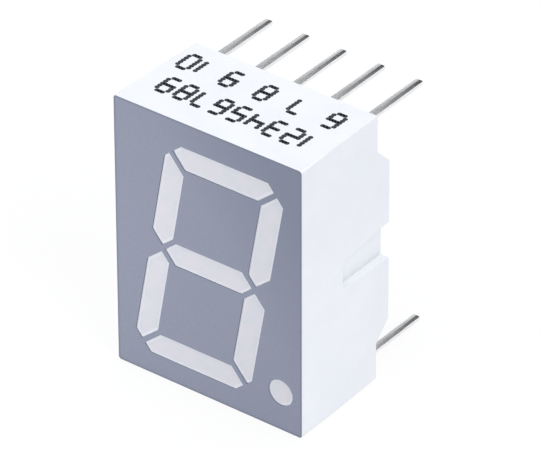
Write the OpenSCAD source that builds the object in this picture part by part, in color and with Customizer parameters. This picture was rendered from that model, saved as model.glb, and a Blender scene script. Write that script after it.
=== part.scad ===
// Single-digit seven-segment display with a decimal point at the lower right.
// The origin is the middle of the pin pattern, on the board that the feet stand on.
// +X is to the reader's right, +Y runs from the display face into the board and
// +Z is up the digit. All sizes are in millimetres.

/* [Housing] */
// Width of the front face
body_w = 12.57; // [12.2:0.01:16]
// Height of the front face
body_h = 17.02; // [16.7:0.01:22]
// Depth from the front face to the board
body_d = 8; // [7.5:0.1:12]
// Draft of the two long sides, in degrees
side_draft = 1.5; // [0:0.1:2]
// Draft of the top and the bottom, in degrees
end_draft = 0.75; // [0:0.05:1.5]
// How far the feet stand out behind the rear rim
foot_rise = 1.12; // [0.6:0.02:1.4]
// Length of each foot where it meets the board
foot_l = 10.14; // [8:0.02:11]
// Run of the slope at each end of a foot
foot_slope = 1.09; // [0.2:0.01:1.4]
// Thickness of the plate behind the front face
plate_t = 1; // [0.6:0.1:1.6]
// Radius of the four corners of the front face
corner_r = 0.18; // [0.1:0.02:0.6]
// Thickness of the ink on the front face
coat_t = 0.08; // [0.03:0.01:0.2]

/* [Side notches] */
// Height of the notch in each long side, where it meets the board
notch_h = 2.3; // [1:0.1:3]
// Depth of the notch below the side, where it meets the board
notch_depth = 0.55; // [0.2:0.05:0.8]
// Draft of the notch's floor and walls, in degrees
notch_draft = 3.7; // [0:0.1:5]
// Distance from the front face to the start of the notch
notch_start = 3.75; // [2:0.05:6]
// Wall kept around the inside of the notch
notch_wall = 0.5; // [0.3:0.05:0.8]

/* [Digit] */
// Width of the digit before it is slanted
digit_w = 7.98; // [6.5:0.01:8.2]
// Height of the digit
digit_h = 14.14; // [12:0.01:14.6]
// How far the digit's centre sits below the middle of the face
digit_drop = 0.12; // [0:0.01:0.4]
// Slant of the upright segments, in degrees
slant = 10.2; // [0:0.1:12]
// Width of a segment
stroke = 1.44; // [1:0.01:1.6]
// Gap between neighbouring segments
gap = 0.29; // [0.2:0.01:0.5]
// Shift of the mitres that fall from left to right, toward the digit's centre
mitre_shift = 0.15; // [0:0.01:0.2]
// Distance from the centre line to the cut on the digit's blunt corners
blunt_cut = 0.31; // [0.1:0.01:0.5]
// Distance from the centre line to the cut on the digit's sharp corners
sharp_cut = 0.19; // [0.1:0.01:0.5]
// Diameter of the decimal point
dot_d = 1.62; // [1.4:0.01:1.8]
// Distance of the decimal point to the right of the middle
dot_x = 4.85; // [4.6:0.01:5]
// Height of the decimal point's centre above the foot of the digit
dot_rise = 1.07; // [0.9:0.01:1.8]

/* [Light wells] */
// Share of a segment's outline that is left at the bottom of its well
well_taper = 0.62; // [0.55:0.01:0.9]
// Share of the decimal point that is left at the bottom of its well
dot_taper = 0.8; // [0.75:0.01:0.95]
// Wall kept around each well where the back is cored out
web = 0.6; // [0.4:0.05:0.9]

/* [Lead frame] */
// Distance between neighbouring pins
pin_gap = 2.54; // [2.5:0.01:2.56]
// Distance between the two rows of pins
row_gap = 15.24; // [14.8:0.02:15.4]
// Width of a pin and of the flat lead that carries it
pin_w = 0.51; // [0.4:0.01:0.6]
// Thickness of the sheet that the leads are stamped from
lead_t = 0.25; // [0.2:0.01:0.3]
// Length of the pins below the feet
pin_len = 4.06; // [2.5:0.01:6]
// Length of the tapered tip of a pin
tip_len = 0.15; // [0.05:0.05:0.8]
// Width of a pin at its tip
tip_w = 0.44; // [0.15:0.01:0.5]
// Inner radius of the bend from a flat lead into its pin
bend_r = 0.25; // [0.15:0.01:0.4]
// Straight run of a lead before its first turn
lead_run = 0.3; // [0.1:0.05:0.4]
// Diameter of the pad under a chip
pad_d = 0.8; // [0.6:0.05:0.9]
// Resin between the outer leads and the housing
lead_clear = 0.12; // [0.05:0.01:0.2]

/* [Chips and wires] */
// Width of a chip
chip_w = 0.28; // [0.2:0.01:0.35]
// Height of a chip above its pad
chip_h = 0.2; // [0.1:0.01:0.3]
// Distance from a chip to its wire's place on the common lead
post_gap = 1.05; // [0.95:0.01:1.2]
// The same distance, halved, behind the decimal point
dot_split = 0.36; // [0.34:0.01:0.4]
// Thickness of a bond wire
wire_t = 0.04; // [0.03:0.005:0.06]
// Height of a bond wire's loop
loop_h = 0.25; // [0.1:0.01:0.4]

/* [Back resin] */
// How far the resin lies below the rear rim
resin_drop = 0.4; // [0.1:0.05:0.6]
// Depth of the lead frame below the surface of the resin
frame_cover = 1.48; // [0.8:0.02:2.4]

/* [Hidden] */
$fn = 48;

// Letters of the lights in order, and the numbers of those with a rule of their own
LIGHTS = ["a", "b", "c", "d", "e", "f", "g", "dp"];
TOP = 0;
UPPER_RIGHT = 1;
BASE = 3;
LOWER_LEFT = 4;
UPPER_LEFT = 5;
MIDDLE = 6;
DOT = 7;
// Ends of each segment: column, then level
ENDS = [
    [[-1, 1], [1, 1]],
    [[1, 1], [1, 0]],
    [[1, 0], [1, -1]],
    [[-1, -1], [1, -1]],
    [[-1, 0], [-1, -1]],
    [[-1, 1], [-1, 0]],
    [[-1, 0], [1, 0]]
];
// Pin of each light: column in steps of pin_gap, then row
PINS = [[1, 1], [2, 1], [1, -1], [-1, -1], [-2, -1], [-1, 1], [-2, 1], [2, -1]];

// Planes behind the face, front to back
y_face = -body_d;
y_coat = y_face + coat_t;
y_plate = y_face + plate_t;
y_rim = -foot_rise;
y_resin = y_rim - resin_drop;
y_frame = y_resin - frame_cover;

// Half sizes of the drafted housing at a plane
function half_w(y) = body_w / 2 - (y - y_face) * tan(side_draft);
function half_h(y) = body_h / 2 - (y - y_face) * tan(end_draft);

// Half sizes of the back cavity, and of the walls that stand in it behind the notches
cave_x = 2 * pin_gap + pin_w / 2 + lead_clear;
cave_z = row_gap / 2 + lead_t / 2 + lead_clear;
boss_x = half_w(0) - notch_depth - notch_wall;
boss_z = notch_h / 2 + notch_wall;

// Ends of the flat leads, where they start to bend into the pins
z_bend = row_gap / 2 - lead_t / 2 - bend_r;
y_bend = y_frame + lead_t + bend_r;

// Centre lines of the digit
centre = [0, -digit_drop];
up = [sin(slant), cos(slant)];
col_x = (digit_w - stroke) / 2;
row_z = (digit_h - stroke) / 2;
dot = centre + [dot_x, dot_rise - digit_h / 2];

function unit(v) = v / norm(v);
function turned(v) = [-v.y, v.x];
function place(e) = centre + [e.x * col_x + e.y * row_z * tan(slant), e.y * row_z];
function middle(i) = i == DOT ? dot : (place(ENDS[i][0]) + place(ENDS[i][1])) / 2;
function level(i) = ENDS[i][0].y == ENDS[i][1].y;

// Directions of the strips that a segment is mitred against at one of its ends
function others(i, e) =
    level(i) ? (e.y == 0 ? [up, -up] : [-e.y * up])
             : (e.y == 0 ? [[1, 0], [-1, 0]] : [[-e.x, 0]]);

// Cuts at one end of a segment, each a direction to cut off and a point on the cut
function mitre(at, m) =
    let (side = m.x * m.y > 0 ? sign(m * (centre - at)) : 0)
    [m, at + m * (side * mitre_shift - gap / 2)];
function corner(e, grow = 0) =
    let (q = unit([-e.x, 0] - e.y * up), cut = e.x * e.y < 0 ? blunt_cut : sharp_cut)
    [-q, place(e) - q * (cut + grow)];
function end_cuts(i, e, inward) =
    concat([for (v = others(i, e)) mitre(place(e), unit(v - inward))], e.y == 0 ? [] : [corner(e)]);

// Part of a convex outline that one cut leaves, and what is left after all cuts
function clip(pts, cut) = [
    for (i = [0 : len(pts) - 1])
        let (a = pts[i], b = pts[(i + 1) % len(pts)])
        let (da = (a - cut[1]) * cut[0], db = (b - cut[1]) * cut[0])
        each concat(da <= 0 ? [a] : [], da * db < 0 ? [a + (b - a) * da / (da - db)] : [])
];
function clip_all(pts, cuts, k = 0) = k == len(cuts) ? pts : clip_all(clip(pts, cuts[k]), cuts, k + 1);

// Outline of a segment on the face
function outline(i) =
    let (a = place(ENDS[i][0]), b = place(ENDS[i][1]), u = unit(b - a))
    let (side = turned(u) * stroke / 2, past = u * digit_h)
    clip_all([a - past - side, b + past - side, b + past + side, a - past + side],
             concat(end_cuts(i, ENDS[i][0], u), end_cuts(i, ENDS[i][1], -u)));

// Outline of the walls around the segments' wells, and of the core inside one loop of the digit
function beside(e, x, z) = place(e) + [x / cos(slant) + z * tan(slant), z];
function wall_outline() =
    let (t = stroke / 2 + web, list = [[-1, -1], [1, -1], [1, 1], [-1, 1]])
    clip_all([for (e = list) beside(e, e.x * t, e.y * t)], [for (e = list) corner(e, web)]);
function core_outline(s) =
    let (t = stroke / 2 + web)
    [beside([-1, 0], t, s * t), beside([1, 0], -t, s * t),
     beside([1, s], -t, -s * t), beside([-1, s], t, -s * t)];

// Where a chip stands, and where its wire meets the common lead
function chip_at(i) =
    i == DOT ? dot - [0, dot_split] :
    i == TOP ? [post_gap, middle(i).y] :
    i == BASE ? [-post_gap, middle(i).y] : middle(i);
function post_at(i) =
    i == DOT ? dot + [0, dot_split] :
    i == TOP || i == BASE ? [0, middle(i).y] :
    i == MIDDLE ? middle(i) + [post_gap, 0] : middle(i) - PINS[i].y * post_gap * up;

// Route of a flat lead from its bend to its chip
function start(i) = [PINS[i].x * pin_gap, PINS[i].y * z_bend];
function knee(i) =
    let (c = chip_at(i), x = PINS[i].x * pin_gap)
    [x, PINS[i].y * min(abs(c.y) + abs(x - c.x), z_bend - lead_run)];
function side_route(i) =
    let (x = boss_x - lead_clear - pin_w / 2, z = boss_z + pin_w)
    [start(i), [start(i).x, z + abs(start(i).x + x)], [-x, z], [-x, chip_at(i).y], chip_at(i)];
function route(i) = i == MIDDLE ? side_route(i) : [start(i), knee(i), chip_at(i)];

// An outline in X and Z, from plane y0 back to plane y1
module slab(y0, y1) {
    translate([0, y1, 0]) rotate([90, 0, 0]) linear_extrude(y1 - y0) children();
}

// An outline in Y and Z, right across the width
module across(w) {
    rotate([90, 0, 90]) linear_extrude(w, center = true) children();
}

// The front face's outline, with its round corners
module face_outline() {
    square([body_w - 2 * corner_r, body_h], center = true);
    square([body_w, body_h - 2 * corner_r], center = true);
    for (x = [-1, 1], z = [-1, 1])
        translate([x * (body_w / 2 - corner_r), z * (body_h / 2 - corner_r)]) circle(r = corner_r);
}

// The drafted block behind the ink, with its feet
module block() {
    foot = foot_l / 2;
    intersection() {
        slab(y_coat, 0) face_outline();
        linear_extrude(body_h, center = true)
            polygon([[-half_w(y_face), y_face], [half_w(y_face), y_face], [half_w(0), 0], [-half_w(0), 0]]);
        across(body_w)
            polygon([
                [y_face, -half_h(y_face)], [y_rim, -half_h(y_rim)], [y_rim, -foot - foot_slope], [0, -foot],
                [0, foot], [y_rim, foot + foot_slope], [y_rim, half_h(y_rim)], [y_face, half_h(y_face)]
            ]);
    }
}

// The shape of one light on the face
module light(i) {
    if (i == DOT)
        translate(dot) circle(d = dot_d);
    else
        polygon(outline(i));
}

// The well of one light, narrowing from the front of the moulding to its chip
module well(i) {
    at = middle(i);
    translate([at.x, y_frame, at.y]) rotate([90, 0, 0])
        if (i == DOT)
            cylinder(h = y_frame - y_coat, d1 = dot_d * dot_taper, d2 = dot_d);
        else
            linear_extrude(y_frame - y_coat, scale = 1 / well_taper)
                polygon([for (p = outline(i)) (p - at) * well_taper]);
}

// The walls that stand around the wells in the cored back
module walls() {
    slab(y_face, y_frame) {
        difference() {
            polygon(wall_outline());
            for (s = [-1, 1]) polygon(core_outline(s));
        }
        translate(dot) circle(d = dot_d + 2 * web);
    }
}

// The hollow behind the front plate, from the cores between the wells to plane y1
module hollow(y1) {
    difference() {
        slab(y_plate, y1) {
            square([2 * boss_x, 2 * cave_z], center = true);
            for (s = [-1, 1])
                translate([0, s * (cave_z + boss_z) / 2])
                    square([2 * cave_x, cave_z - boss_z], center = true);
        }
        walls();
    }
}

// The notch in one long side, open to the back, which deepens and widens towards the board
module notch(side) {
    y0 = y_face + notch_start;
    function floor_x(y) = half_w(0) - notch_depth - y * tan(notch_draft);
    function wall_z(y) = notch_h / 2 + y * tan(notch_draft);
    intersection() {
        linear_extrude(body_h, center = true)
            polygon([
                [side * floor_x(y0), y0], [side * body_w, y0],
                [side * body_w, body_d], [side * floor_x(body_d), body_d]
            ]);
        across(2 * body_w)
            polygon([
                [y0, -wall_z(y0)], [body_d, -wall_z(body_d)], [body_d, wall_z(body_d)], [y0, wall_z(y0)]
            ]);
    }
}

module housing() {
    color("white")
        difference() {
            block();
            hollow(body_d);
            for (i = [0 : DOT]) well(i);
            for (side = [-1, 1]) notch(side);
        }
}

module face_coat() {
    color("#9499AC")
        slab(y_face, y_coat)
            difference() {
                face_outline();
                for (i = [0 : DOT]) light(i);
            }
}

module segment(i) {
    color("#DEDCE6")
        difference() {
            well(i);
            led_chip(i);
            bond_wire(i);
        }
}

module led_chip(i) {
    at = chip_at(i);
    color("#C8B060")
        translate([at.x - chip_w / 2, y_frame - chip_h, at.y - chip_w / 2])
            cube([chip_w, chip_h, chip_w]);
}

// Points and directions along a bond wire of span l, and the ribbon around them
function arch(l, t) = [l * t, -chip_h * (1 - t) - 4 * loop_h * t * (1 - t)];
function slope(l, t) = [l, chip_h - 4 * loop_h * (1 - 2 * t)];
function facing(l, t) = t == 0 ? [1, 0] : t == 1 ? [-1, 0] : turned(unit(slope(l, t)));
function ribbon(l, n = 8) = concat(
    [for (k = [0 : n]) arch(l, k / n) + facing(l, k / n) * wire_t / 2],
    [for (k = [n : -1 : 0]) arch(l, k / n) - facing(l, k / n) * wire_t / 2]
);

module bond_wire(i) {
    a = chip_at(i);
    d = post_at(i) - a;
    color("gold")
        translate([a.x, y_frame, a.y]) rotate([0, -atan2(d.y, d.x), 0])
            linear_extrude(wire_t, center = true) polygon(ribbon(norm(d)));
}

// One straight piece of a flat lead
module bar(a, b) {
    d = b - a;
    translate(a) rotate(atan2(d.y, d.x)) translate([0, -pin_w / 2]) square([norm(d), pin_w]);
}

// A flat lead along a route, round at every turn
module flat_lead(pts) {
    slab(y_frame, y_frame + lead_t) {
        for (k = [1 : len(pts) - 1]) bar(pts[k - 1], pts[k]);
        for (k = [1 : 1 : len(pts) - 2]) translate(pts[k]) circle(d = pin_w);
    }
}

// The round end of a flat lead
module pad(at, d = pin_w) {
    slab(y_frame, y_frame + lead_t) translate(at) circle(d = d);
}

// The bend and the pin at one place of the pin pattern
module pin(column, row) {
    translate([column * pin_gap, 0, 0]) mirror([0, 0, row < 0 ? 1 : 0]) {
        translate([0, y_bend, z_bend]) rotate([90, 0, 90]) rotate(90) translate([0, 0, -pin_w / 2])
            rotate_extrude(angle = 90) translate([bend_r, 0]) square([lead_t, pin_w]);
        translate([0, 0, z_bend + bend_r]) linear_extrude(lead_t)
            polygon([
                [-pin_w / 2, y_bend], [pin_w / 2, y_bend], [pin_w / 2, pin_len - tip_len],
                [tip_w / 2, pin_len], [-tip_w / 2, pin_len], [-pin_w / 2, pin_len - tip_len]
            ]);
    }
}

module lead(i) {
    color("silver") {
        flat_lead(route(i));
        pad(chip_at(i), i == DOT ? pin_w : pad_d);
        pin(PINS[i].x, PINS[i].y);
    }
}

module common_lead() {
    high = post_at(UPPER_LEFT).y;
    low = post_at(LOWER_LEFT).y;
    color("silver") {
        flat_lead([
            [0, z_bend], [0, high], [post_gap, high - post_gap],
            [post_gap, low + post_gap], [0, low], [0, -z_bend]
        ]);
        flat_lead([post_at(UPPER_LEFT), post_at(UPPER_RIGHT)]);
        flat_lead([post_at(LOWER_LEFT), [dot.x, low], post_at(DOT)]);
        for (i = [UPPER_LEFT, UPPER_RIGHT, LOWER_LEFT, DOT]) pad(post_at(i));
        for (row = [-1, 1]) pin(0, row);
    }
}

module potting() {
    color("#F2F2EC")
        difference() {
            hollow(y_resin);
            for (i = [0 : DOT]) lead(i);
            common_lead();
        }
}

housing();
face_coat();
for (i = [0 : MIDDLE]) segment(i);
segment(DOT);  // decimal_point
for (i = [0 : DOT]) led_chip(i);
for (i = [0 : DOT]) bond_wire(i);
for (i = [0 : DOT]) lead(i);
common_lead();
potting();
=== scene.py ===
# %% [markdown]
# # Seven segment display
#
# The solids of the display come in as a fixed frame, at their real size. This lesson dresses them:
# every piece gets a finish made of nodes, the moulded and stamped edges are rounded, numbers are
# printed on the top, and a floor, lights and a camera make the picture. The frame comes first,
# because all later steps take their places from it.

from math import radians, tan

import bmesh
import bpy
from mathutils import Matrix, Quaternion, Vector


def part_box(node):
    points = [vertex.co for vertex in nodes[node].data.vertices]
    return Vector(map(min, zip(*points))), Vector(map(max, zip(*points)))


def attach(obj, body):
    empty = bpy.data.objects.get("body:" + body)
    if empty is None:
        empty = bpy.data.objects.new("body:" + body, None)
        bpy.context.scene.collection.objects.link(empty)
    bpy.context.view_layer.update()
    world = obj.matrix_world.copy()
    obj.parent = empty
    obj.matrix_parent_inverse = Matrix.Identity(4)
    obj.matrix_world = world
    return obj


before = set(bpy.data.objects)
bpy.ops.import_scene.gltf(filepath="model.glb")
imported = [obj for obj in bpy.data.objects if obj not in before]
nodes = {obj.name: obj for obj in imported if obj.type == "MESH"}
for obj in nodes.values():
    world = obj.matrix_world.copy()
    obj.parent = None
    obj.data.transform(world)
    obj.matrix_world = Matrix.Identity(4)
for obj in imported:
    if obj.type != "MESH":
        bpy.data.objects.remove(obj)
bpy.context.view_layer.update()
print("loaded", len(nodes), "nodes")

# %% [markdown]
# ## Rounded edges
#
# No moulded or stamped edge is quite sharp: a thin line of light runs along it. The solids could
# carry such small rounds, but that costs many faces and changes nothing about how the part fits. A
# bevel modifier adds them here and leaves each solid as it is. Before it, the triangles are welded
# and joined into flat faces, so that the bevel finds only the true edges. After it, weighted
# normals keep the flat faces flat.

# %% Rounded edges
MM = 0.001
SAME_POINT = 0.0005 * MM
FLAT_DEG, SHARP_DEG = 0.5, 25
ROUND_STEPS = 4


def round_edges(piece, radius):
    """Rounds the sharp edges of a piece with modifiers."""
    weld = piece.modifiers.new("Weld", "WELD")
    weld.merge_threshold = SAME_POINT
    flat = piece.modifiers.new("Flat faces", "DECIMATE")
    flat.decimate_type = "DISSOLVE"
    flat.angle_limit = radians(FLAT_DEG)
    edge = piece.modifiers.new("Round edges", "BEVEL")
    edge.width = radius
    edge.segments = ROUND_STEPS
    edge.limit_method = "ANGLE"
    edge.angle_limit = radians(SHARP_DEG)
    edge.use_clamp_overlap = True
    piece.modifiers.new("Normals", "WEIGHTED_NORMAL")


def dress(names, material, radius=0.0):
    """Gives the nodes a material and, where a radius is given, round edges."""
    for name in names:
        piece = nodes[name]
        piece.data.materials.clear()
        piece.data.materials.append(material)
        if radius > 0.0:
            round_edges(piece, radius)
    print(material.name, "on", len(names), "pieces")


print("edges of", SHARP_DEG, "degrees and more will be rounded")

# %% [markdown]
# ## A shader and its textures
#
# Plastic, ink and metal are never one flat colour: they have clouds, a grain and small changes of
# gloss. A picture of the surface could show that, but it would have to be fitted to each face.
# Noise nodes that read object coordinates need no fitting: their grain is given in millimetres and
# stays on the piece. Colours are written as a screen shows them and turned into the linear light
# that a shader works in. Each helper adds a node or two and hands back a socket, so that a finish
# later reads as a few lines.

# %% Colour and shader
def srgb(r, g, b):
    """A linear colour from the three 8-bit values that a screen shows."""
    channels = [v / 255 for v in (r, g, b)]
    return [v / 12.92 if v < 0.04045 else ((v + 0.055) / 1.055) ** 2.4 for v in channels] + [1.0]


def new_material(name):
    """An empty Principled material, its node tree and its shader."""
    material = bpy.data.materials.new(name)
    material.use_nodes = True
    tree = material.node_tree
    return material, tree, tree.nodes["Principled BSDF"]


def paint(tree, shader, colour, roughness):
    """Feeds a colour and a roughness to the shader."""
    tree.links.new(colour, shader.inputs["Base Color"])
    tree.links.new(roughness, shader.inputs["Roughness"])


print("middle grey on a screen is", round(srgb(128, 128, 128)[0], 3), "in linear light")

# %% Blotches of noise
def blotches(tree, grain, stretch=(1, 1, 1), detail=3.0):
    """Noise with blotches about as wide as grain, longer along an axis with a small stretch."""
    place = tree.nodes.new("ShaderNodeTexCoord")
    mapping = tree.nodes.new("ShaderNodeMapping")
    noise = tree.nodes.new("ShaderNodeTexNoise")
    mapping.inputs["Scale"].default_value = stretch
    noise.inputs["Scale"].default_value = 1 / grain
    noise.inputs["Detail"].default_value = detail
    tree.links.new(place.outputs["Object"], mapping.inputs["Vector"])
    tree.links.new(mapping.outputs["Vector"], noise.inputs["Vector"])
    return noise.outputs["Fac"]


print("blotches of 0.5 mm need a noise scale of", round(1 / (0.5 * MM)))

# %% Colour, gloss and relief from noise
CLOUD_FROM, CLOUD_TO = 0.35, 0.65
NOISE_FROM, NOISE_TO = 0.3, 0.7


def ramp(tree, noise, low, high):
    """A colour that goes from low to high with the noise."""
    node = tree.nodes.new("ShaderNodeValToRGB")
    for stop, place, colour in zip(node.color_ramp.elements, (CLOUD_FROM, CLOUD_TO), (low, high)):
        stop.position = place
        stop.color = colour
    tree.links.new(noise, node.inputs["Fac"])
    return node.outputs["Color"]


def spread(tree, noise, low, high):
    """A value that goes from low to high with the noise."""
    node = tree.nodes.new("ShaderNodeMapRange")
    node.inputs["From Min"].default_value = NOISE_FROM
    node.inputs["From Max"].default_value = NOISE_TO
    node.inputs["To Min"].default_value = low
    node.inputs["To Max"].default_value = high
    tree.links.new(noise, node.inputs["Value"])
    return node.outputs["Result"]


def relief(tree, shader, noise, height):
    """A bump of the given height on the shader's normal."""
    node = tree.nodes.new("ShaderNodeBump")
    node.inputs["Distance"].default_value = height
    tree.links.new(noise, node.inputs["Height"])
    tree.links.new(node.outputs["Normal"], shader.inputs["Normal"])


print("colours follow the noise from", CLOUD_FROM, "to", CLOUD_TO)

# %% [markdown]
# ## Back resin
#
# The back of the display is closed with poured resin, which grips the leads. It sets with a glossy
# skin that is a little wavy and not quite even in colour. The waves could be moved vertices, but
# they are too low to change the outline, so a soft bump is enough. It is the simplest finish of the
# display, so it comes first: one cloud drives both the colour and the gloss.

# %% Back resin
def back_resin():
    """Pale poured resin, glossy and slightly wavy where it set."""
    material, tree, shader = new_material("back_resin")
    cloud = blotches(tree, 1.6 * MM)
    colour = ramp(tree, cloud, srgb(206, 208, 213), srgb(219, 220, 224))
    paint(tree, shader, colour, spread(tree, cloud, 0.16, 0.26))
    relief(tree, shader, blotches(tree, 1.2 * MM, detail=1.0), 0.05 * MM)
    return material


dress(["potting"], back_resin())

# %% [markdown]
# ## Chips and wires
#
# Behind each well sits a light-emitting chip, a tiny cut cube, and a gold wire as fine as a hair
# joins it to the common lead. The resin hides them in the finished display, but they show when the
# pieces are taken apart. They could share one plain grey. A material each, with a grain at its own
# scale, keeps them true when someone looks closely.

# %% Chips and wires
def chip():
    """A dark semiconductor cube with a faint sheen."""
    material, tree, shader = new_material("chip")
    grain = blotches(tree, 0.05 * MM)
    colour = ramp(tree, grain, srgb(92, 66, 58), srgb(120, 88, 74))
    paint(tree, shader, colour, spread(tree, grain, 0.25, 0.4))
    return material


def gold_wire():
    """Drawn gold."""
    material, tree, shader = new_material("gold_wire")
    grain = blotches(tree, 0.03 * MM)
    colour = ramp(tree, grain, srgb(212, 168, 84), srgb(236, 196, 112))
    paint(tree, shader, colour, spread(tree, grain, 0.2, 0.3))
    shader.inputs["Metallic"].default_value = 1.0
    return material


dress([name for name in nodes if name.startswith("led_chip")], chip())
dress([name for name in nodes if name.startswith("bond_wire")], gold_wire())

# %% [markdown]
# ## Masks from sums
#
# The next finishes change from place to place: painted shade in a corner, a darker rim, a smoother tip.
# Such a mask could be painted by hand, but then it needs unwrapped faces and an image. Here a mask is a
# sum on the coordinates of the surface, on the way it faces, or on how closed in it is. That way it
# follows the solid when a size changes.

# %% Sums and blends
def maths(tree, operation, a, b=0.0):
    """One sum on sockets or numbers."""
    node = tree.nodes.new("ShaderNodeMath")
    node.operation = operation
    for socket, value in zip(node.inputs, (a, b)):
        if isinstance(value, float):
            socket.default_value = value
        else:
            tree.links.new(value, socket)
    return node.outputs["Value"]


def blend(tree, mask, low, high):
    """A colour between two others, each a colour or a socket."""
    node = tree.nodes.new("ShaderNodeMix")
    node.data_type = "RGBA"
    tree.links.new(mask, node.inputs["Factor"])
    for name, value in (("A", low), ("B", high)):
        socket = next(i for i in node.inputs if i.name == name and i.type == "RGBA")
        if isinstance(value, list):
            socket.default_value = value
        else:
            tree.links.new(value, socket)
    return next(o for o in node.outputs if o.type == "RGBA")


print("a mask of 0 gives the low colour of a blend, and 1 the high one")

# %% Place, facing and corners
def axes(tree, node, output):
    """The three coordinates of a vector that a new node of this type gives."""
    source = tree.nodes.new(node)
    split = tree.nodes.new("ShaderNodeSeparateXYZ")
    tree.links.new(source.outputs[output], split.inputs["Vector"])
    return split.outputs


def closed_in(tree, reach, inside=False):
    """How closed in the surface is within reach, looking out of the piece or into it."""
    node = tree.nodes.new("ShaderNodeAmbientOcclusion")
    node.only_local = True
    node.inside = inside
    node.inputs["Distance"].default_value = reach
    return maths(tree, "SUBTRACT", 1.0, node.outputs["AO"])


print("masks can read a place, a facing or a corner")

# %% [markdown]
# ## White plastic
#
# The housing is moulded in a white compound, which throws the light of the chips forward. It is
# nearly even and finely pitted by the tool. In the notches it is greyed with painted shade, which darkens
# the inner corner at the foot of each notch where little light reaches. A grey stripe laid along each
# ledge would have to be moved by hand with the notch. An occlusion node finds the corner by itself.
# Only upright walls of the lower half take the painted shade, so the corner at the foot of a wall
# darkens and the corner under a ceiling does not.

# %% White plastic
NOTCH_SHADE_REACH, NOTCH_SHADE_SHARE = 0.9 * MM, 1.2
UPRIGHT_BELOW = 0.5
MOULD_ROUND = 0.07 * MM


def white_plastic():
    """White moulding compound: nearly even, finely pitted, with painted shade in the corners of its lower
    half.
    """
    material, tree, shader = new_material("white_plastic")
    cloud = blotches(tree, 2.5 * MM)
    plain_white = ramp(tree, cloud, srgb(242, 244, 249), srgb(246, 248, 252))
    slope = maths(tree, "ABSOLUTE", axes(tree, "ShaderNodeNewGeometry", "True Normal")["Z"])
    upright = maths(tree, "LESS_THAN", slope, UPRIGHT_BELOW)
    lower = maths(tree, "LESS_THAN", axes(tree, "ShaderNodeTexCoord", "Object")["Z"], 0.0)
    lower_upright = maths(tree, "MULTIPLY", upright, lower)
    # painted shade: the grey below darkens the inner corners of the notches, where little light reaches
    corner = maths(tree, "MULTIPLY", closed_in(tree, NOTCH_SHADE_REACH), lower_upright)
    notch_shade = maths(tree, "MULTIPLY", corner, NOTCH_SHADE_SHARE)
    colour = blend(tree, notch_shade, plain_white, srgb(186, 190, 194))
    paint(tree, shader, colour, spread(tree, cloud, 0.42, 0.52))
    shader.inputs["Specular IOR Level"].default_value = 0.35
    relief(tree, shader, blotches(tree, 0.12 * MM), 0.003 * MM)
    return material


dress(["housing"], white_plastic(), MOULD_ROUND)

# %% [markdown]
# ## Grey ink
#
# The front carries a film of matte grey ink, against which lit segments stand out. A printed film is
# speckled, and it is thicker and darker along its rim. Painted shade darkens it towards its upper right
# corner, away from a sheen on its left. It could be a second colour on the housing, but here it is a
# solid of its own, and its edges need colours of their own: a darker wall around each segment, which is
# painted shade for the step, and the white of the moulding around the outside. The way that a face
# points tells the front of the film from its walls.

# %% Grey ink
FACE_LOW, FACE_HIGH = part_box("face_coat")
HALF_W, TOP_Z = FACE_HIGH.x, FACE_HIGH.z
INK_RIM = 0.18 * MM
INK_SHADE_FROM, INK_SHADE_RISE = 0.35, 0.8
FRONT_BELOW = -0.5


def ink_film(tree, speckle, place):
    """The colour of the film, with painted shade that darkens it towards its upper right corner."""
    unshaded_film = ramp(tree, speckle, srgb(141, 146, 163), srgb(146, 151, 168))
    across = maths(tree, "DIVIDE", place["X"], HALF_W)
    upwards = maths(tree, "DIVIDE", place["Z"], TOP_Z)
    # painted shade: the film is darkened towards its upper right corner, away from a sheen on its left
    to_corner = maths(tree, "SUBTRACT", maths(tree, "ADD", across, upwards), INK_SHADE_FROM)
    ink_shade = maths(tree, "MULTIPLY", maths(tree, "MAXIMUM", to_corner, 0.0), INK_SHADE_RISE)
    return blend(tree, ink_shade, unshaded_film, srgb(131, 137, 155))


def grey_ink():
    """Screen-printed ink: a matte blue grey with a fine speckle, a darker rim, painted shade towards one
    corner, and coloured walls, those around the segments darkened with painted shade.
    """
    material, tree, shader = new_material("grey_ink")
    speckle = blotches(tree, 0.14 * MM, detail=2.0)
    place = axes(tree, "ShaderNodeTexCoord", "Object")
    from_side = maths(tree, "SUBTRACT", HALF_W, maths(tree, "ABSOLUTE", place["X"]))
    from_end = maths(tree, "SUBTRACT", TOP_Z, maths(tree, "ABSOLUTE", place["Z"]))
    inside = maths(tree, "DIVIDE", maths(tree, "MINIMUM", from_side, from_end), INK_RIM)
    even = ink_film(tree, speckle, place)
    film = blend(tree, maths(tree, "MINIMUM", inside, 1.0), srgb(122, 128, 146), even)
    outside = maths(tree, "LESS_THAN", inside, 1.0)
    # painted shade: the walls around the segments are darker than the film, for the shade in the step
    wall = blend(tree, outside, srgb(124, 130, 146), srgb(240, 243, 248))
    facing = axes(tree, "ShaderNodeNewGeometry", "True Normal")
    front = maths(tree, "LESS_THAN", facing["Y"], FRONT_BELOW)
    paint(tree, shader, blend(tree, front, wall, film), spread(tree, speckle, 0.55, 0.7))
    shader.inputs["Specular IOR Level"].default_value = 0.25
    relief(tree, shader, speckle, 0.002 * MM)
    return material


dress(["face_coat"], grey_ink())

# %% [markdown]
# ## Milky resin
#
# The segments and the point are resin with a diffuser in it, cast into the wells. It is milky, with
# faint warm and cool clouds, and along its rim the white wall of the well shows through. Real glass
# shading with a volume would show that wall too, but it is slow and noisy. A little subsurface
# light and a paler rim give the same look. The paler rim is also painted light: it lifts the shade
# that the step of the ink casts along the edge of each segment. The rim is found by an occlusion
# node that looks into the piece: close to a wall it is more closed in.

# %% Milky resin
RIM_REACH, RIM_SHARE = 0.2 * MM, 2.0


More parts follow.
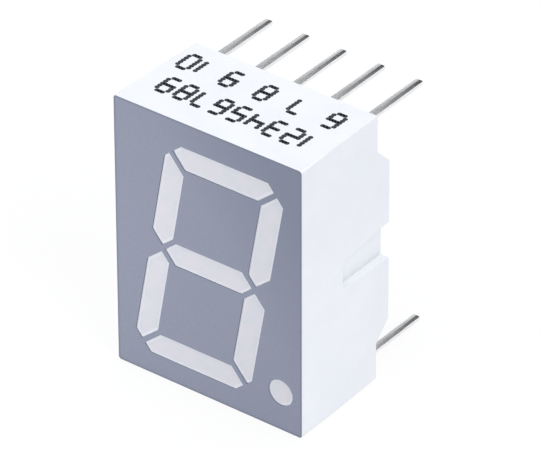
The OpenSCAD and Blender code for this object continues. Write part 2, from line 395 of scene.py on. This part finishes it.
def milky_resin():
    """Cast diffusing resin with faint clouds, a paler rim that is partly painted light, and a satin skin.
    """
    material, tree, shader = new_material("diffusing_resin")
    cloud = blotches(tree, 0.9 * MM, detail=4.0)
    milky = ramp(tree, cloud, srgb(215, 217, 223), srgb(221, 218, 225))
    # partly painted light: the pale rim stands for the white wall showing through, and it also lifts the
    # shade that the ink step casts on the resin
    rim = maths(tree, "MULTIPLY", closed_in(tree, RIM_REACH, inside=True), RIM_SHARE)
    colour = blend(tree, rim, milky, srgb(245, 247, 252))
    paint(tree, shader, colour, spread(tree, cloud, 0.3, 0.42))
    shader.inputs["Subsurface Weight"].default_value = 0.25
    shader.inputs["Subsurface Radius"].default_value = (1.0, 1.0, 1.0)
    shader.inputs["Subsurface Scale"].default_value = 0.2 * MM
    shader.inputs["Specular IOR Level"].default_value = 0.3
    relief(tree, shader, blotches(tree, 0.5 * MM), 0.004 * MM)
    return material


dress(["segment_" + letter for letter in "abcdefg"] + ["decimal_point"], milky_resin())

# %% [markdown]
# ## Tinned metal
#
# The leads are stamped from flat strip and dipped in tin. The tin is streaked along the pin, dull
# near the body, and smoother and more crowned towards the tip. The crown could be modelled, but the
# pins are flat strip and must still fit their holes. A bump across each pin bends the reflection
# instead. It is highest on the middle line of the nearest pin, which is found by snapping the place
# across the display to the pitch of the pins.

# %% Tinned metal
PIN_GAP, PIN_W = 2.54 * MM, 0.51 * MM
PIN_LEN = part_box("common_lead")[1].y
SMOOTHER_BY, FIRST_SWELL = 0.22, 0.4
STREAK_SHARE, CROWN_H = 0.02, 0.06 * MM
LEAD_ROUND = 0.09 * MM


def tin_crown(tree, place, to_tip):
    """How far the tin falls off from the middle of a pin to its sides, more so towards the tip."""
    nearest = maths(tree, "SNAP", maths(tree, "ADD", place["X"], PIN_GAP / 2), PIN_GAP)
    aside = maths(tree, "DIVIDE", maths(tree, "SUBTRACT", place["X"], nearest), PIN_W / 2)
    swell = maths(tree, "ADD", to_tip, FIRST_SWELL)
    return maths(tree, "MULTIPLY", maths(tree, "POWER", aside, 2.0), swell)


def tinned_metal():
    """Tinned strip: streaked along the pins, and smoother and more crowned towards the tips."""
    material, tree, shader = new_material("tinned_metal")
    streak = blotches(tree, 0.1 * MM, stretch=(1, 0.12, 1))
    place = axes(tree, "ShaderNodeTexCoord", "Object")
    to_tip = maths(tree, "DIVIDE", place["Y"], PIN_LEN)
    dull = spread(tree, blotches(tree, 0.5 * MM), 0.38, 0.44)
    roughness = maths(tree, "SUBTRACT", dull, maths(tree, "MULTIPLY", to_tip, SMOOTHER_BY))
    paint(tree, shader, ramp(tree, streak, srgb(230, 231, 233), srgb(245, 245, 247)), roughness)
    shader.inputs["Metallic"].default_value = 1.0
    ridges = maths(tree, "MULTIPLY", streak, STREAK_SHARE)
    relief(tree, shader, maths(tree, "SUBTRACT", ridges, tin_crown(tree, place, to_tip)), CROWN_H)
    return material


dress([name for name in nodes if name.startswith("lead_")] + ["common_lead"], tinned_metal(), LEAD_ROUND)

# %% [markdown]
# ## Printed numbers
#
# An ink-jet head prints two rows on the top face, to be read from the pin side: the numbers of the
# pins behind, and a row of digits in front. Text objects could do it, but their smooth letters
# look nothing like ink-jet print. A head sets dots on a grid of five by seven, so a digit is built
# of dots here, along the same seven strokes that the display itself lights up. The top leans by the
# draft of the mould, and each dot is set at the height of the face under it.

# %% Digits of dots
STROKES = {"a": (1, 6, 3, 6), "b": (4, 3, 4, 5), "c": (4, 1, 4, 3), "d": (1, 0, 3, 0),
           "e": (0, 1, 0, 3), "f": (0, 3, 0, 5), "g": (1, 3, 3, 3)}
DIGITS = {"0": "abcdef", "1": "bc", "2": "abdeg", "3": "abcdg", "4": "bcfg",
          "5": "acdfg", "6": "acdefg", "7": "abc", "8": "abcdefg", "9": "abcdfg"}


def dots(digit):
    """The dots of one digit, as columns and rows from its lower left."""
    found = set()
    for stroke in DIGITS[digit]:
        x0, y0, x1, y1 = STROKES[stroke]
        found |= {(x, y) for x in range(x0, x1 + 1) for y in range(y0, y1 + 1)}
    return sorted(found)


print("an eight has", len(dots("8")), "dots")

# %% Dots on the top face
DOT_D, DOT_T, DOT_SIDES = 0.3 * MM, 0.004 * MM, 12
STEP_X, STEP_Y = 0.185 * MM, 0.245 * MM
MIDDLE_COLUMN = 2
CHAR_GAP = 1.19 * MM
END_DRAFT = radians(0.75)


def top_at(y):
    """Height of the drafted top face at depth y."""
    return TOP_Z - (y - FACE_LOW.y) * tan(END_DRAFT)


def print_number(mesh, text, x, y):
    """Prints a number around x, with its upper edge towards the front and its foot at y."""
    for place, digit in enumerate(text):
        middle = x - (place - (len(text) - 1) / 2) * CHAR_GAP
        for column, row in dots(digit):
            at = Vector((middle - (column - MIDDLE_COLUMN) * STEP_X, y - row * STEP_Y, 0))
            at.z = top_at(at.y)
            bmesh.ops.create_cone(mesh, cap_ends=True, segments=DOT_SIDES, radius1=DOT_D / 2,
                                  radius2=DOT_D / 2, depth=DOT_T, matrix=Matrix.Translation(at))


print("the top falls by", round((top_at(FACE_LOW.y) - top_at(0)) / MM, 3), "mm from front to back")

# %% Printed numbers
PIN_NUMBERS = ("10", "9", "8", "7", "6")
NUMBER_GAP, NUMBERS_FOOT = 0.9 * PIN_GAP, -2.2 * MM
ROW, ROW_X, ROW_FOOT = "123456789", 0.2 * MM, -4.75 * MM


def print_ink():
    """Ink-jet print: a dark grey film that is thinner in places."""
    material, tree, shader = new_material("print_ink")
    film = blotches(tree, 0.1 * MM)
    colour = ramp(tree, film, srgb(40, 41, 47), srgb(62, 63, 69))
    paint(tree, shader, colour, spread(tree, film, 0.5, 0.65))
    return material


mesh = bmesh.new()
for step, number in enumerate(PIN_NUMBERS):
    print_number(mesh, number, (step - len(PIN_NUMBERS) // 2) * NUMBER_GAP, NUMBERS_FOOT)
print_number(mesh, ROW, ROW_X, ROW_FOOT)
numbers = bpy.data.objects.new("pin_numbers", bpy.data.meshes.new("pin_numbers"))
mesh.to_mesh(numbers.data)
mesh.free()
numbers.data.materials.append(print_ink())
bpy.context.scene.collection.objects.link(numbers)
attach(numbers, "root")
print("printed", len(numbers.data.polygons), "faces of ink")

# %% [markdown]
# ## Floor and sky
#
# A small part is pictured on plain white, with no more than a faint shadow under it. More light
# would make the floor white, but it would burn out the white housing as well. So the floor and the
# sky are white only where the camera sees them, in a mirror or through glass too, and the floor
# keeps a share of real shading, which holds the shadow. To all other light the floor is a middle
# grey and the sky a pale blue, and these two light every face about evenly.

# %% Floor
FLOOR_SIZE = 4
FLOOR_GREY, WHITE = [0.5, 0.505, 0.53, 1], [1, 1, 1, 1]
GLOW_SHARE = 0.85


def seen_rays(tree):
    """One for what the camera sees, in a mirror or through glass too, and nought for other light."""
    rays = tree.nodes.new("ShaderNodeLightPath").outputs
    mirrored = maths(tree, "MAXIMUM", rays["Is Camera Ray"], rays["Is Glossy Ray"])
    return maths(tree, "MAXIMUM", mirrored, rays["Is Transmission Ray"])


def white_floor():
    """A matte floor that is white to the camera and shows a faint shadow."""
    material, tree, shader = new_material("floor")
    seen = seen_rays(tree)
    tree.links.new(blend(tree, seen, FLOOR_GREY, WHITE), shader.inputs["Base Color"])
    shader.inputs["Roughness"].default_value = 1.0
    glow = tree.nodes.new("ShaderNodeEmission")
    glow.inputs["Strength"].default_value = 1.0
    mix = tree.nodes.new("ShaderNodeMixShader")
    tree.links.new(maths(tree, "MULTIPLY", seen, GLOW_SHARE), mix.inputs["Fac"])
    tree.links.new(shader.outputs["BSDF"], mix.inputs[1])
    tree.links.new(glow.outputs["Emission"], mix.inputs[2])
    tree.links.new(mix.outputs["Shader"], tree.nodes["Material Output"].inputs["Surface"])
    return material


bpy.ops.mesh.primitive_plane_add(size=FLOOR_SIZE, location=(0, 0, FACE_LOW.z))
floor = bpy.context.object
floor.name = "floor"
floor.data.materials.append(white_floor())
print("floor at", round(FACE_LOW.z / MM, 2), "mm")

# %% Sky
SKY_COLOUR, SKY_STRENGTH = (0.97, 0.985, 1.0, 1), 0.9

scene = bpy.context.scene
scene.world = bpy.data.worlds.new("sky")
scene.world.use_nodes = True
sky = scene.world.node_tree
shade = sky.nodes["Background"]
shade.inputs["Color"].default_value = SKY_COLOUR
shade.inputs["Strength"].default_value = SKY_STRENGTH
backdrop = sky.nodes.new("ShaderNodeBackground")
backdrop.inputs["Color"].default_value = WHITE
either = sky.nodes.new("ShaderNodeMixShader")
sky.links.new(seen_rays(sky), either.inputs["Fac"])
sky.links.new(shade.outputs["Background"], either.inputs[1])
sky.links.new(backdrop.outputs["Background"], either.inputs[2])
sky.links.new(either.outputs["Shader"], sky.nodes["World Output"].inputs["Surface"])
scene.view_settings.view_transform = "Standard"
print("sky at strength", SKY_STRENGTH)

# %% [markdown]
# ## Soft boxes
#
# An even sky alone makes a white thing look flat. A photographer would add a large soft box high on
# one side, and reflectors close to the object. Here the large one stands on the right and lifts the
# top face and the ledges. Two small ones, close by, do the work of reflectors: they brighten the
# left of the front and the foot of the right side. Area lights are used, because the size of such a
# light sets how soft its shading is.

# %% Soft boxes
def soft_box(name, place, size, power):
    """A square light at a place, aimed at the middle of the object."""
    light = bpy.data.lights.new(name, "AREA")
    light.size = size
    light.energy = power
    box = bpy.data.objects.new(name, light)
    box.location = place
    box.rotation_euler = Vector(place).to_track_quat("Z", "Y").to_euler()
    box.visible_camera = False
    scene.collection.objects.link(box)
    print(name, "is", size / MM, "mm wide")


soft_box("key_light", place=(0.36, -0.1, 0.34), size=0.25, power=0.71)
soft_box("left_light", place=(-0.016, -0.036, -0.001), size=0.015, power=0.0029)
soft_box("right_light", place=(0.0133, -0.0075, -0.005), size=0.006, power=0.00003)

# %% [markdown]
# ## Dark cards
#
# Bright metal shows only what stands around it, and in a white room the pins would vanish. The tin
# could be painted darker, but then it would look like lead. A photographer puts up black and grey
# cards instead, just outside the picture. These are seen in reflections only, so they take no light
# from the white housing and cast no shadow.

# %% Dark cards
CARD_Z, CARD_H = 0.55, 0.7
BLACK, GREY = 0.02, 0.75


def dark_card(name, x, y, width, turn, shade=BLACK):
    """An upright card at x and y that shows in reflections only."""
    upright = (radians(90), 0, radians(turn))
    bpy.ops.mesh.primitive_plane_add(size=1, location=(x, y, CARD_Z), rotation=upright)
    card = bpy.context.object
    card.name = name
    card.scale = (width, CARD_H, 1)
    material, _, shader = new_material(name)
    shader.inputs["Base Color"].default_value = (shade, shade, shade, 1)
    card.data.materials.append(material)
    card.visible_camera = False
    card.visible_diffuse = False
    card.visible_shadow = False
    print(name, "of shade", shade)


dark_card("back_card", x=0.1, y=0.7, width=1.2, turn=0)
dark_card("grey_card", x=-0.8, y=0.7, width=0.6, turn=0, shade=GREY)
dark_card("left_card", x=-0.7, y=-0.15, width=1.0, turn=90)
dark_card("right_card", x=0.7, y=0.1, width=1.0, turn=90)
dark_card("front_card", x=-0.1, y=-0.7, width=1.0, turn=0)

# %% [markdown]
# ## Camera
#
# The display is seen from the front right and from above, through a long lens, so that its edges
# stay almost parallel. The camera could be set by eye, but a small object shows every degree. Its
# place, aim and roll were fitted to the corners of the face and the housing instead. The focal
# length is given in pixels of the frame, and turned into millimetres on the sensor.

# %% Camera
AIM = Vector((-0.521, -1.9, -0.705)) * MM
EYE = Vector((165.559, -217.037, 178.512)) * MM
ROLL = radians(-0.235)
FOCAL_PX, FRAME_W = 6012.7, 540
SENSOR_W, NEAREST = 36, 0.01

camera = bpy.data.objects.new("camera", bpy.data.cameras.new("camera"))
scene.collection.objects.link(camera)
turn = (EYE - AIM).to_track_quat("Z", "Y") @ Quaternion((0, 0, 1), ROLL)
camera.location = EYE
camera.rotation_euler = turn.to_euler()
camera.data.sensor_width = SENSOR_W
camera.data.lens = FOCAL_PX / FRAME_W * SENSOR_W
camera.data.clip_start = NEAREST
scene.camera = camera
print("camera at", [round(v / MM, 1) for v in EYE], "mm")

# %% [markdown]
# ## Finish
#
# The looks must not change the size of the part, because other parts are fitted to it.


print("dressed", len(nodes), "nodes")
